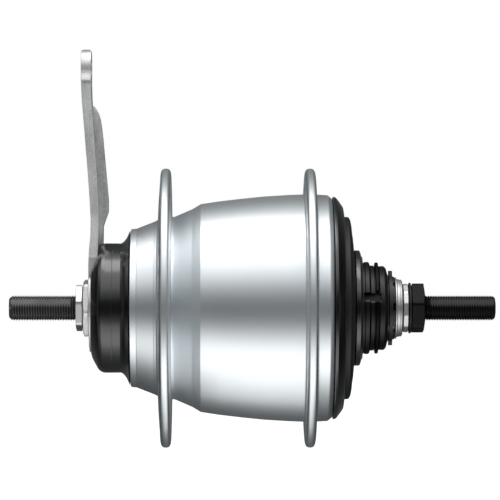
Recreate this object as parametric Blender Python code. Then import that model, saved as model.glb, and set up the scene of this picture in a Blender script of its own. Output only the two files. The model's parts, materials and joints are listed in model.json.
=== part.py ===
"""Five-speed internal-gear bicycle rear hub with a coaster brake.

X runs along the axle, with the brake arm at -X and the sprocket driver at +X. The arm stands up along +Z.
The origin is on the axle, midway between the two lock-nut faces that rest on the frame's dropouts.
Sizes are in millimetres; MM turns them into metres. Angles about the axle are in degrees, from +Z
towards -Y, which is the way that a positive turn about +X goes. A turned profile lists (x, radius).
"""

import math

import bmesh
import bpy
from mathutils import Matrix

MM = 0.001

# How round the turned pieces are.
LARGE_STEPS = 32
MEDIUM_STEPS = 24
SMALL_STEPS = 16
FIT_GAP = 0.3

# Width over the lock nuts, and the axle.
OVER_LOCK_NUTS = 132.0
DROPOUT_X = OVER_LOCK_NUTS / 2
AXLE_LEFT = -91.3
AXLE_RIGHT = 92.7
AXLE_RADIUS = 4.75
AXLE_BORE = AXLE_RADIUS + FIT_GAP
AXLE_FLAT_HALF = 4.2
AXLE_FLAT_FROM = 68.0
AXLE_FLAT_ANGLE = 52.0
AXLE_CHAMFER = 1.2
AXLE_COLLAR = ((-20.0, -17.0), 7.0)

# Nuts: name, finish, x range, width across flats, sides and the angle of one corner.
NUTS = (
    ("left_lock_nut", "bright_steel", (-DROPOUT_X, -63.5), 15.8, 6, 74.9),
    ("arm_nut", "zinc", (-63.2, -61.1), 20.0, 6, 99.4),
    ("cone_lock_nut", "ground_steel", (57.6, 59.5), 17.97, 12, 52.5),
    ("right_lock_nut", "black_steel", (60.9, DROPOUT_X), 17.0, 6, 81.6),
)

# Spokes: two flanges, whose holes are half a pitch apart.
FLANGE_RADIUS = 52.8
SPOKE_CIRCLE = 48.0
SPOKE_HOLE = 1.35
SPOKES_PER_FLANGE = 36
LEFT_FLANGE = (-33.9, -30.5)
RIGHT_FLANGE = (20.6, 24.0)
FLANGE_EDGE = 0.6

# Gears: one module throughout, and planets of two steps.
MODULE = 0.95
PRESSURE = math.radians(20)
BACKLASH = 0.10
TOOTH_OUT = 0.9 * MODULE
TOOTH_IN = 1.2 * MODULE
LARGE_SUN_TEETH = 27
SMALL_SUN_TEETH = 18
PLANET_SMALL_TEETH = 15
PLANET_LARGE_TEETH = 24
RING_TEETH = 66
PLANET_ORBIT = MODULE * (LARGE_SUN_TEETH + PLANET_SMALL_TEETH) / 2
PLANET_ANGLES = (0, 120, 240)
PIN_RADIUS = 2.4
PIN_BORE = PIN_RADIUS + FIT_GAP
STAGE_A = (-13.0, -4.0)
STAGE_B = (-3.0, 7.0)
LEFT_PLATE = (-17.0, -14.0)
RIGHT_PLATE = (8.0, 11.0)
PLATE_RADIUS = 28.0
PILLAR_RADIUS = 3.6
PILLAR_CIRCLE = 23.6
CARRIER_NECK = (-27.0, 9.7, 7.6)

# Ball bearings: (x, radius of the ball circle), ball radius and number of balls.
LEFT_BALLS = ((-42.0, 21.3), 2.38, 14)
RIGHT_BALLS = ((27.0, 27.2), 2.38, 18)
DRIVER_BALLS = ((47.5, 10.6), 2.0, 10)
CAGE_HALF = (0.6, 1.1)
RACE_GAP = 0.27

# Pawls and the ratchets that they catch.
RATCHET_TEETH = 18
RATCHET_RADII = (33.2, 34.8)
SHELL_PAWL_PIVOT = 31.3
PAWL_X = (9.6, 15.6)
SUN_RATCHET_TEETH = 12
SUN_RATCHET_RADII = (8.6, 9.9)
SUN_PAWL_PIVOT = 6.6
SUN_PAWL_X = (-11.9, -6.1)
SUN_PAWL_TIP = (7.7, 9.4)
SUN_PAWL_REACH = 32.0
SHELL_PAWL_TIP = (32.6, 34.2)
SHELL_PAWL_REACH = 14.5
PAWL_HALF = 1.3

# Sleeve and ring that the shifter turns.
SLEEVE_RADII = (AXLE_BORE, 5.95)
SLEEVE_X = (-12.6, 53.6)
SLEEVE_BORE = 6.3
SHIFT_RANGE = 96.0
SHIFT_RING_X = (52.2, 53.5, 54.3)
SHIFT_RING_RADII = (6.25, 12.9)
SHIFT_TAB_RADIUS = 14.1
SHIFT_TEETH = 8
SHIFT_TEETH_RADII = (10.3, 11.9)
FINGER_HALF_ANGLE = 25.0
FINGER_RADII = (7.4, 9.4)

# The driver: its three sprocket slots, its dogs and the snap ring.
SLOT_ANGLES = (76, 196, 316)
SLOT_HALF = 2.0
SLOT_X = (42.3, 49.0)
DOG_RADII = (14.0, 18.1)
SNAP_RING_X = (46.95, 48.1)
SNAP_RING_RADII = (15.3, 17.3)
SNAP_RING_GAP = 4.5

# Brake shoes and the ring spring that draws them in.
SHOE_ANGLE = 108.0
SHOE_SPRING_X = (-29.6, -28.4)
SHOE_SPRING_RADII = (24.0, 25.0)

# Coaster brake arm: (z, x of the outer face, x of the inner face) and (z, half width).
ARM_FACES = (
    (35.0, -60.8, -57.3),
    (48.7, -61.1, -57.7),
    (66.9, -62.7, -59.1),
    (82.0, -64.1, -60.2),
    (98.0, -64.1, -60.2),
)
ARM_SIDES = ((18.5, 12.5), (35.0, 10.0), (60.0, 7.5), (84.0, 5.0))
ARM_ROOT_RADIUS = 16.6
ARM_NECK_HALF = 4.8
ARM_EYE_Z = 90.9
ARM_EYE_RADIUS = 7.0
ARM_EYE_HOLE = 3.25
ARM_BEAD = (
    (24.9, -56.4),
    (26.5, -55.5),
    (30.8, -55.5),
    (37.0, -53.6),
    (64.0, -55.9),
    (70.0, -56.3),
    (76.4, -58.6),
    (77.3, -60.0),
)
ARM_BEAD_HALF = 4.6
ARM_GROOVE_HALF = 2.9
ARM_WALL = 2.2
ARM_NOTCH_HALF = 12.9
CONE_HEX = 15.0
CONE_HEX_X = (-60.6, -56.3)

# Finishes: base colour, roughness, metallic.
FINISHES = {
    "bright_steel": ((0.74, 0.74, 0.73), 0.22, 1.0),
    "zinc": ((0.50, 0.51, 0.50), 0.42, 1.0),
    "satin_aluminium": ((0.80, 0.80, 0.79), 0.30, 1.0),
    "dark_steel": ((0.16, 0.16, 0.16), 0.35, 1.0),
    "black_steel": ((0.03, 0.03, 0.03), 0.35, 0.8),
    "ground_steel": ((0.62, 0.62, 0.62), 0.25, 1.0),
    "black_plastic": ((0.012, 0.012, 0.012), 0.22, 0.0),
    "rubber": ((0.02, 0.02, 0.02), 0.6, 0.0),
    "bronze": ((0.60, 0.42, 0.22), 0.35, 1.0),
}


# Outlines across the axle: lists of (y, z).


def polar(radius, angle):
    turn = math.radians(angle)
    return -radius * math.sin(turn), radius * math.cos(turn)


def arc(radius, first, last, steps):
    return [polar(radius, first + (last - first) * step / steps) for step in range(steps + 1)]


def circle(radius, steps=SMALL_STEPS, centre=(0.0, 0.0)):
    points = arc(radius, 0, 360, steps)[:-1]
    return [(y + centre[0], z + centre[1]) for y, z in points]


def polygon(across_flats, corner_angle=0.0, sides=6):
    radius = across_flats / 2 / math.cos(math.pi / sides)
    return arc(radius, corner_angle, corner_angle + 360, sides)[:-1]


def involute(angle):
    return math.tan(angle) - angle


def gear_outline(teeth, inner, outer, thinner, first=0.0):
    """Teeth with one straight line for each flank. first is the angle of the first tooth's middle."""
    pitch_radius = MODULE * teeth / 2
    base_radius = pitch_radius * math.cos(PRESSURE)
    half_at_pitch = math.pi / (2 * teeth) - thinner / (2 * pitch_radius)

    def half_angle(radius):
        pressure = math.acos(min(1.0, base_radius / radius))
        return math.degrees(half_at_pitch + involute(PRESSURE) - involute(pressure))

    low, high = half_angle(inner), half_angle(outer)
    outline = []
    for tooth in range(teeth):
        middle = first + 360 * tooth / teeth
        outline += [polar(inner, middle - low), polar(outer, middle - high)]
        outline += [polar(outer, middle + high), polar(inner, middle + low)]
    return outline


def outside_gear(teeth, first=0.0):
    pitch_radius = MODULE * teeth / 2
    return gear_outline(teeth, pitch_radius - TOOTH_IN, pitch_radius + TOOTH_OUT, BACKLASH, first)


def ring_gear_bore(teeth):
    pitch_radius = MODULE * teeth / 2
    return gear_outline(teeth, pitch_radius - TOOTH_OUT, pitch_radius + TOOTH_IN, -BACKLASH)


def ratchet_outline(teeth, radii, steep_angle, direction):
    """Sawteeth cut into a bore. direction is the way that each ramp deepens, up to its steep face."""
    pitch = 360 / teeth
    outline = []
    for tooth in range(teeth):
        steep = steep_angle + direction * pitch * tooth
        outline += [polar(radii[0], steep), polar(radii[1], steep + direction * pitch * 0.95)]
    return outline


def pawl_outline(pivot_radius, reach, tip_radii, direction):
    """A pawl about its own pivot, at angle 0: a round heel, and a tip reach degrees away about the axle."""
    heel = arc(PAWL_HALF, 180 * direction, 360 * direction, 6)
    tip = [polar(radius, direction * reach) for radius in reversed(tip_radii)]
    return heel + [(y, z - pivot_radius) for y, z in tip]


# Solids: each starts as a bmesh in millimetres and becomes one named object.


def turn_about_axle(mesh, angle):
    turn = Matrix.Rotation(math.radians(angle), 3, "X")
    bmesh.ops.rotate(mesh, verts=mesh.verts, cent=(0, 0, 0), matrix=turn)


def spun(profile, steps=LARGE_STEPS, sweep=360.0, first=0.0):
    """The profile turned about X. A profile that starts and ends on the axis is left open there."""
    mesh = bmesh.new()
    whole = sweep == 360.0
    verts = [mesh.verts.new((x, 0.0, radius)) for x, radius in profile]
    on_axis = profile[0][1] == 0
    edges = [mesh.edges.new(pair) for pair in zip(verts, verts[1:])]
    if not on_axis:
        edges.append(mesh.edges.new((verts[-1], verts[0])))
    geometry = verts + edges
    if not whole:
        geometry.append(mesh.faces.new(verts))
    bmesh.ops.spin(
        mesh, geom=geometry, cent=(0, 0, 0), axis=(1, 0, 0), steps=steps,
        angle=math.radians(sweep), use_merge=whole,
    )
    bmesh.ops.remove_doubles(mesh, verts=mesh.verts, dist=0.002)
    turn_about_axle(mesh, first)
    return mesh


def loop_at(mesh, x, outline):
    """A closed loop of vertices and edges at one x."""
    verts = [mesh.verts.new((x, y, z)) for y, z in outline]
    for pair in zip(verts, verts[1:] + verts[:1]):
        mesh.edges.new(pair)
    return verts


def wall(mesh, x_from, x_to, outline):
    """The side faces between two copies of an outline. It gives back both loops."""
    near, far = loop_at(mesh, x_from, outline), loop_at(mesh, x_to, outline)
    count = len(outline)
    for index in range(count):
        after = (index + 1) % count
        mesh.faces.new((near[index], near[after], far[after], far[index]))
    return near, far


def cap(mesh, *loops):
    """Flat faces between loops at one x: the first is the outer one and the rest are holes."""
    edges = []
    for loop in loops:
        edges += [mesh.edges.get(pair) for pair in zip(loop, loop[1:] + loop[:1])]
    bmesh.ops.triangle_fill(mesh, edges=edges, use_beauty=True)


def stacked(sections, bore=(), holes=()):
    """Prisms end to end along X. sections and bore list (x_from, x_to, outline), and holes go through."""
    mesh = bmesh.new()
    start, end = sections[0][0], sections[-1][1]
    sides = [wall(mesh, *section) for section in sections]
    inner = [wall(mesh, *section) for section in bore]
    through = [wall(mesh, start, end, outline) for outline in holes]
    for walls in (sides, inner):
        for before, after in zip(walls, walls[1:]):
            cap(mesh, before[1], after[0])
    first_loops = [sides[0][0], *[walls[0] for walls in inner[:1] + through]]
    last_loops = [sides[-1][1], *[walls[1] for walls in inner[-1:] + through]]
    cap(mesh, *first_loops)
    cap(mesh, *last_loops)
    return mesh


def box(x_range, y_range, z_range, turn=0.0):
    """A block, turned about the axle."""
    mesh = bmesh.new()
    bmesh.ops.create_cube(mesh, size=1.0)
    for vert in mesh.verts:
        for index, (low, high) in enumerate((x_range, y_range, z_range)):
            vert.co[index] = low if vert.co[index] < 0 else high
    turn_about_axle(mesh, turn)
    return mesh


def merged(meshes):
    """Several bmeshes as one, for a cutter or a set of equal pieces."""
    whole = bmesh.new()
    for mesh in meshes:
        data = bpy.data.meshes.new("part")
        mesh.to_mesh(data)
        mesh.free()
        whole.from_mesh(data)
        bpy.data.meshes.remove(data)
    return whole


def finished(mesh, name, finish, body, pivot=(0.0, 0.0, 0.0)):
    """The named object, in metres, placed at its pivot under its body's empty."""
    bmesh.ops.recalc_face_normals(mesh, faces=mesh.faces)
    bmesh.ops.translate(mesh, verts=mesh.verts, vec=[-value for value in pivot])
    bmesh.ops.scale(mesh, verts=mesh.verts, vec=(MM, MM, MM))
    data = bpy.data.meshes.new(name)
    mesh.to_mesh(data)
    mesh.free()
    data.shade_smooth()
    data.set_sharp_from_angle(angle=math.radians(35))
    piece = bpy.data.objects.new(name, data)
    bpy.context.scene.collection.objects.link(piece)
    piece.parent = body
    piece.location = [value * MM for value in pivot]
    data.materials.append(material(name, finish))
    return piece


def material(name, finish):
    colour, roughness, metallic = FINISHES[finish]
    made = bpy.data.materials.new(f"{name}_{finish}")
    made.use_nodes = True
    shader = made.node_tree.nodes["Principled BSDF"]
    shader.inputs["Base Color"].default_value = (*colour, 1.0)
    shader.inputs["Roughness"].default_value = roughness
    shader.inputs["Metallic"].default_value = metallic
    made.diffuse_color = (*colour, 1.0)
    return made


def combine(piece, mesh, operation):
    """Cuts a helper solid out of a piece, or joins it on."""
    helper = finished(mesh, f"{piece.name}_{operation.lower()}", "zinc", piece.parent)
    helper.hide_render = True
    helper.display_type = "WIRE"
    modifier = piece.modifiers.new(operation.title(), "BOOLEAN")
    modifier.operation = operation
    modifier.solver = "EXACT"
    modifier.object = helper


def body_empty(name, parent=None, pivot=(0.0, 0.0, 0.0)):
    """The empty that a moving body's pieces hang on, on the body's joint axis."""
    empty = bpy.data.objects.new(name, None)
    bpy.context.scene.collection.objects.link(empty)
    empty.parent = parent
    empty.location = [value * MM for value in pivot]
    return empty


def race(bearing, first, last, steps=3):
    """Points of a ball race, a little wider than the balls, in the plane of the turned profile."""
    (x, radius), ball, _ = bearing
    turns = [math.radians(first + (last - first) * step / steps) for step in range(steps + 1)]
    return [(x + (ball + RACE_GAP) * math.cos(t), radius + (ball + RACE_GAP) * math.sin(t)) for t in turns]


# The standing pieces: axle, nuts, brake arm, cones and caps.


def make_axle(body):
    (left, right), radius = AXLE_COLLAR
    collar = [(left, AXLE_RADIUS), (left, radius), (right, radius), (right, AXLE_RADIUS)]
    left_end = [(AXLE_LEFT, 0.0), (AXLE_LEFT, AXLE_RADIUS - AXLE_CHAMFER)]
    left_end += [(AXLE_LEFT + AXLE_CHAMFER, AXLE_RADIUS)]
    right_end = [(AXLE_RIGHT - 1.9, AXLE_RADIUS), (AXLE_RIGHT - 0.6, 4.1)]
    right_end += [(AXLE_RIGHT, 2.9), (AXLE_RIGHT, 0.0)]
    axle = finished(spun(left_end + collar + right_end, MEDIUM_STEPS), "axle", "dark_steel", body)
    flats = [
        box((low, high), (-9, 9), (AXLE_FLAT_HALF, 9), AXLE_FLAT_ANGLE + side)
        for low, high in ((AXLE_LEFT - 5, -AXLE_FLAT_FROM), (AXLE_FLAT_FROM, AXLE_RIGHT + 5))
        for side in (0, 180)
    ]
    combine(axle, merged(flats), "DIFFERENCE")


def make_nuts(body):
    for name, finish, x_range, across_flats, sides, corner in NUTS:
        outline = polygon(across_flats, corner, sides)
        finished(stacked([(*x_range, outline)], [(*x_range, circle(AXLE_BORE))]), name, finish, body)
    collar = [(54.6, AXLE_BORE), (54.6, 11.6), (55.1, 11.6), (55.3, 10.9), (57.0, 10.7), (57.3, 10.2)]
    finished(spun([*collar, (57.3, AXLE_BORE)], SMALL_STEPS), "right_collar", "bright_steel", body)
    washer = [(59.8, AXLE_BORE), (59.8, 9.3), (60.1, 9.7), (60.6, 9.6), (60.6, AXLE_BORE)]
    finished(spun(washer, SMALL_STEPS), "seal_washer", "rubber", body)


def arm_face_x(z, face):
    """x of the arm's outer face (0) or inner face (1) at a height."""
    if z <= ARM_FACES[0][0]:
        return ARM_FACES[0][face + 1]
    for lower, upper in zip(ARM_FACES, ARM_FACES[1:]):
        if z <= upper[0]:
            part = (z - lower[0]) / (upper[0] - lower[0])
            return lower[face + 1] + part * (upper[face + 1] - lower[face + 1])
    return ARM_FACES[-1][face + 1]


def arm_outline():
    """The arm's plate as seen along the axle: root disc, tapering sides and a round eye."""
    root = arc(ARM_ROOT_RADIUS, -48, -312, 22)
    neck_angle = math.degrees(math.asin(ARM_NECK_HALF / ARM_EYE_RADIUS))
    eye = arc(ARM_EYE_RADIUS, 180 - neck_angle, neck_angle - 180, 14)
    left = [(-half, z) for z, half in ARM_SIDES]
    right = [(half, z) for z, half in reversed(ARM_SIDES)]
    return root + left + [(y, z + ARM_EYE_Z) for y, z in eye] + right


def arm_side_prism(points, half_width):
    """An outline of (x, z) points, as thick as twice half_width along Y."""
    mesh = bmesh.new()
    face = mesh.faces.new([mesh.verts.new((x, -half_width, z)) for x, z in points])
    extruded = bmesh.ops.extrude_face_region(mesh, geom=[face])
    moved = [item for item in extruded["geom"] if isinstance(item, bmesh.types.BMVert)]
    bmesh.ops.translate(mesh, verts=moved, vec=(0, 2 * half_width, 0))
    return mesh


def make_brake_arm(body):
    root_faces = ARM_FACES[0][1:]
    eye_hole = circle(ARM_EYE_HOLE, SMALL_STEPS, (0.0, ARM_EYE_Z))
    mesh = stacked([(*root_faces, arm_outline())], holes=[polygon(CONE_HEX + 2 * FIT_GAP), eye_hole])
    for z, _, _ in ARM_FACES[:-1]:
        everything = mesh.verts[:] + mesh.edges[:] + mesh.faces[:]
        bmesh.ops.bisect_plane(mesh, geom=everything, plane_co=(0, 0, z), plane_no=(0, 0, 1))
    middle = sum(root_faces) / 2
    for vert in mesh.verts:
        vert.co.x = arm_face_x(vert.co.z, 0 if vert.co.x < middle else 1)
    arm = finished(mesh, "brake_arm", "zinc", body)
    inside = [(arm_face_x(z, 0) + ARM_WALL - 0.6, z) for z, _ in reversed(ARM_BEAD)]
    bead = [(x, z) for z, x in ARM_BEAD] + inside
    combine(arm, arm_side_prism(bead, ARM_BEAD_HALF), "UNION")
    groove = [(x - ARM_WALL, z) for z, x in ARM_BEAD[1:-1]]
    groove += [(-68.0, ARM_BEAD[-2][0]), (-68.0, ARM_BEAD[1][0])]
    combine(arm, arm_side_prism(groove, ARM_GROOVE_HALF), "DIFFERENCE")


def make_left_dust_cap(body):
    dome = [(-60.3, 17.1), (-59.7, 19.2), (-58.5, 21.5), (-57.4, 23.5), (-56.1, 24.2), (-55.1, 24.5)]
    skirt = [(-49.0, 24.5), (-48.1, 24.9), (-47.2, 26.5), (-46.0, 28.5), (-45.6, 29.4)]
    inside = [(-45.6, 28.0), (-47.8, 23.4), (-54.8, 23.4), (-55.9, 22.4)]
    web = [(-55.9, 10.3), (-57.0, 10.3), (-57.0, 17.1)]
    dust_cap = finished(spun(dome + skirt + inside + web), "left_dust_cap", "black_plastic", body)
    notch = box((-63.0, -56.9), (-ARM_NOTCH_HALF, ARM_NOTCH_HALF), (0.0, 32.0))
    combine(dust_cap, notch, "DIFFERENCE")


def make_brake_cone(body):
    """The standing cone of the left bearing: its hexagon holds the brake arm, its taper spreads the shoes."""
    neck = [(-58.0, 7.1), (-56.5, 7.1), (-56.5, 9.9), (-55.5, 9.9)]
    neck += [(-55.5, 13.0), (-54.5, 13.0), (-54.5, 12.0)]
    body_part = [(-48.0, 12.0), (-46.0, 18.7)]
    rim = [(-39.3, 20.3), (-38.6, 18.9), (-33.0, 15.9), (-33.0, AXLE_BORE)]
    profile = [(-58.0, AXLE_BORE)] + neck + body_part + race(LEFT_BALLS, 235, 330) + rim
    cone = finished(spun(profile, MEDIUM_STEPS), "brake_cone", "ground_steel", body)
    hexagon_bore = circle(AXLE_BORE, MEDIUM_STEPS)
    hexagon_end = stacked([(*CONE_HEX_X, polygon(CONE_HEX))], [(*CONE_HEX_X, hexagon_bore)])
    combine(cone, hexagon_end, "UNION")


def make_large_sun(body):
    teeth = outside_gear(LARGE_SUN_TEETH)
    ratchet = ratchet_outline(SUN_RATCHET_TEETH, SUN_RATCHET_RADII, 38.0 - 360 / SUN_RATCHET_TEETH, 1)
    finished(stacked([(*STAGE_A, teeth)], [(*STAGE_A, ratchet)]), "large_sun_gear", "ground_steel", body)


def make_driver_cone(body):
    inner = [(45.6, SLEEVE_BORE), (45.6, 8.35)]
    outer = [(50.3, 10.7), (50.9, 9.5), (51.7, 9.5), (51.7, SLEEVE_BORE)]
    profile = inner + race(DRIVER_BALLS, 270, 360) + outer
    cone = finished(spun(profile, MEDIUM_STEPS), "driver_cone", "ground_steel", body)
    fingers = []
    for middle in (0, 180):
        first, last = middle - FINGER_HALF_ANGLE, middle + FINGER_HALF_ANGLE
        finger = arc(FINGER_RADII[0], first, last, 4) + arc(FINGER_RADII[1], last, first, 4)
        fingers.append(stacked([(51.2, SHIFT_RING_X[2], finger)]))
    combine(cone, merged(fingers), "UNION")


# The brake: shoes between the standing cone and the expander, inside the drum.


def make_brake(body, shoe_bodies, expander_body):
    groove = [(-30.0, 25.6), (-30.0, 23.2), (-28.0, 23.2), (-28.0, 25.6)]
    ends = [(-20.4, 25.6), (-20.4, 18.5), (-25.5, 16.3), (-32.0, 16.3), (-37.6, 19.2), (-37.6, 25.6)]
    for index, (angle, shoe_body) in enumerate(zip(PLANET_ANGLES, shoe_bodies), 1):
        shoe = spun(groove + ends, 8, SHOE_ANGLE, angle - SHOE_ANGLE / 2)
        finished(shoe, f"brake_shoe_{index}", "bronze", shoe_body)
    inner, outer = SHOE_SPRING_RADII
    spring = arc(inner, 6, 354, MEDIUM_STEPS) + arc(outer, 354, 6, MEDIUM_STEPS)
    finished(stacked([(*SHOE_SPRING_X, spring)]), "shoe_return_spring", "ground_steel", body)
    expander = [(-27.0, 10.0), (-27.0, 15.3), (-17.5, 18.7), (-17.5, 10.0)]
    finished(spun(expander, MEDIUM_STEPS), "brake_expander", "ground_steel", expander_body)


# The shell and what turns with it.


def spoke_holes(x_range, first):
    """One cutter for the holes of a flange."""
    holes = []
    for index in range(SPOKES_PER_FLANGE):
        centre = polar(SPOKE_CIRCLE, first + 360 * index / SPOKES_PER_FLANGE)
        holes.append(stacked([(x_range[0] - 1, x_range[1] + 1, circle(SPOKE_HOLE, 6, centre))]))
    return holes


def flange_profile(x_range, foot_left, foot_right):
    """A flange's side faces and its chamfered rim."""
    left, right = x_range
    low_rim = FLANGE_RADIUS - FLANGE_EDGE
    return [
        (left, foot_left), (left, low_rim), (left + FLANGE_EDGE, FLANGE_RADIUS),
        (right - FLANGE_EDGE, FLANGE_RADIUS), (right, low_rim), (right, foot_right),
    ]


def make_hub_shell(body):
    left_neck = [(-45.2, 27.0), (-45.2, 29.9), (-42.6, 30.2), (-39.2, 31.4), (-34.6, 33.4)]
    barrel = [(-29.0, 34.6), (-22.2, 37.3), (-18.8, 39.3), (-8.5, 40.8), (5.1, 42.2)]
    right_neck = [(29.0, 42.8), (30.7, 41.5), (30.7, 39.1)]
    inside = [(20.0, 39.1), (20.0, 37.5), (8.0, 37.5), (8.0, 36.0), (-18.5, 36.0)]
    inside += [(-18.5, 28.9), (-38.1, 28.9), (-38.1, 27.0)]
    profile = left_neck + flange_profile(LEFT_FLANGE, 34.4, 34.4) + barrel
    profile += flange_profile(RIGHT_FLANGE, 43.1, 43.1) + right_neck + inside
    shell = finished(spun(profile), "hub_shell", "satin_aluminium", body)
    half_pitch = 180 / SPOKES_PER_FLANGE
    holes = spoke_holes(LEFT_FLANGE, half_pitch) + spoke_holes(RIGHT_FLANGE, 0)
    combine(shell, merged(holes), "DIFFERENCE")


def make_cups(body):
    left = [(-44.8, 26.7), *race(LEFT_BALLS, 170, 70), (-38.5, 23.9), (-38.5, 26.7)]
    finished(spun(left, LARGE_STEPS), "left_ball_cup", "ground_steel", body)
    drum = [(-37.5, 26.4), (-37.5, 28.6), (-19.5, 28.6), (-19.5, 26.4)]
    finished(spun(drum), "brake_drum", "ground_steel", body)
    right = [(9.0, 32.8), (9.0, 37.0), (20.3, 37.0), (20.3, 38.8), (30.4, 38.8), (30.4, 27.7)]
    right += [*race(RIGHT_BALLS, 10, 110), (24.3, 29.7), (24.3, 32.8)]
    cup = finished(spun(right), "right_ball_cup", "ground_steel", body)
    ratchet = ratchet_outline(RATCHET_TEETH, RATCHET_RADII, 3.5, -1)
    combine(cup, stacked([(8.0, 17.0, ratchet)]), "DIFFERENCE")


def make_right_covers(body):
    cover = [(31.0, 42.2), (32.2, 41.9), (34.9, 38.2), (35.4, 34.9)]
    cover += [(34.2, 34.9), (33.9, 37.4), (31.8, 40.6), (31.0, 40.6)]
    finished(spun(cover), "right_dust_cap", "black_plastic", body)
    seal = [(33.9, 34.5), (37.3, 34.5), (37.9, 32.0), (38.5, 27.3), (39.0, 22.4)]
    seal += [(37.9, 22.4), (37.4, 27.3), (36.7, 32.0), (36.3, 33.2), (33.9, 33.2)]
    finished(spun(seal, MEDIUM_STEPS), "right_dust_seal", "rubber", body)


# The gear train.


def make_carrier(body):
    """Two plates joined by pillars, with holes for the planet pins and notches for the driver's dogs."""
    mesh = bmesh.new()
    plate = circle(PLATE_RADIUS, LARGE_STEPS)
    pillars = [circle(PILLAR_RADIUS, 10, polar(PILLAR_CIRCLE, angle + 60)) for angle in PLANET_ANGLES]
    pin_holes = [circle(PIN_BORE, 12, polar(PLANET_ORBIT, angle)) for angle in PLANET_ANGLES]
    notched = []
    for angle in PLANET_ANGLES:
        notched += arc(15.4, angle - 48, angle + 48, 8)
        notched += arc(18.5, angle + 49, angle + 71, 3)
    neck_x, neck_radius, neck_bore_radius = CARRIER_NECK
    neck = wall(mesh, neck_x, LEFT_PLATE[0], circle(neck_radius))
    neck_bore = wall(mesh, neck_x, LEFT_PLATE[1], circle(neck_bore_radius))
    left_rim = wall(mesh, *LEFT_PLATE, plate)
    right_rim = wall(mesh, *RIGHT_PLATE, plate)
    posts = [wall(mesh, LEFT_PLATE[1], RIGHT_PLATE[0], pillar) for pillar in pillars]
    left_holes = [wall(mesh, *LEFT_PLATE, hole) for hole in pin_holes]
    right_holes = [wall(mesh, *RIGHT_PLATE, hole) for hole in pin_holes]
    right_bore = wall(mesh, *RIGHT_PLATE, notched)
    cap(mesh, neck[0], neck_bore[0])
    cap(mesh, left_rim[0], neck[1], *[hole[0] for hole in left_holes])
    cap(mesh, left_rim[1], neck_bore[1], *[hole[1] for hole in left_holes], *[post[0] for post in posts])
    cap(mesh, right_rim[0], right_bore[0], *[hole[0] for hole in right_holes], *[post[1] for post in posts])
    cap(mesh, right_rim[1], right_bore[1], *[hole[1] for hole in right_holes])
    finished(mesh, "planet_carrier", "ground_steel", body)
    for index, angle in enumerate(PLANET_ANGLES, 1):
        pin = stacked([(LEFT_PLATE[0], RIGHT_PLATE[1], circle(PIN_RADIUS, 12, polar(PLANET_ORBIT, angle)))])
        finished(pin, f"planet_pin_{index}", "ground_steel", body)


def make_planets(bodies):
    for index, (angle, body) in enumerate(zip(PLANET_ANGLES, bodies), 1):
        small = outside_gear(PLANET_SMALL_TEETH, angle)
        large = outside_gear(PLANET_LARGE_TEETH, angle)
        sections = [(STAGE_A[0], STAGE_B[0], small), (*STAGE_B, large)]
        bore = [(STAGE_A[0], STAGE_B[1], circle(PIN_BORE, 12))]
        finished(stacked(sections, bore), f"planet_gear_{index}", "ground_steel", body)


def make_small_sun(body):
    teeth = outside_gear(SMALL_SUN_TEETH, 180 / SMALL_SUN_TEETH)
    sun = stacked([(*STAGE_B, teeth)], [(*STAGE_B, circle(SLEEVE_BORE))])
    finished(sun, "small_sun_gear", "ground_steel", body)


def make_ring_gear(body):
    """Inner teeth for the planets, and a neck whose three pockets hold the shell pawls."""
    neck = []
    for angle in PLANET_ANGLES:
        neck += arc(29.7, angle - 18, angle + 4.5, 3)
        neck += arc(31.8, angle + 5, angle + 101.5, 12)
    sections = [(-3.5, 8.0, circle(35.2, LARGE_STEPS)), (8.0, 16.3, neck)]
    bore = [(-3.5, 7.6, ring_gear_bore(RING_TEETH)), (7.6, 16.3, circle(28.4, LARGE_STEPS))]
    finished(stacked(sections, bore), "ring_gear", "ground_steel", body)


def make_pawls(pawl_bodies, sun_pawl_body):
    outline = pawl_outline(SHELL_PAWL_PIVOT, SHELL_PAWL_REACH, SHELL_PAWL_TIP, -1)
    for index, (angle, body) in enumerate(zip(PLANET_ANGLES, pawl_bodies), 1):
        pawl = stacked([(*PAWL_X, outline)])
        turn_about_axle(pawl, angle)
        finished(pawl, f"shell_pawl_{index}", "ground_steel", body)
    outline = pawl_outline(SUN_PAWL_PIVOT, SUN_PAWL_REACH, SUN_PAWL_TIP, 1)
    finished(stacked([(*SUN_PAWL_X, outline)]), "sun_pawl", "ground_steel", sun_pawl_body)


# The driver and what turns with it.


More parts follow.
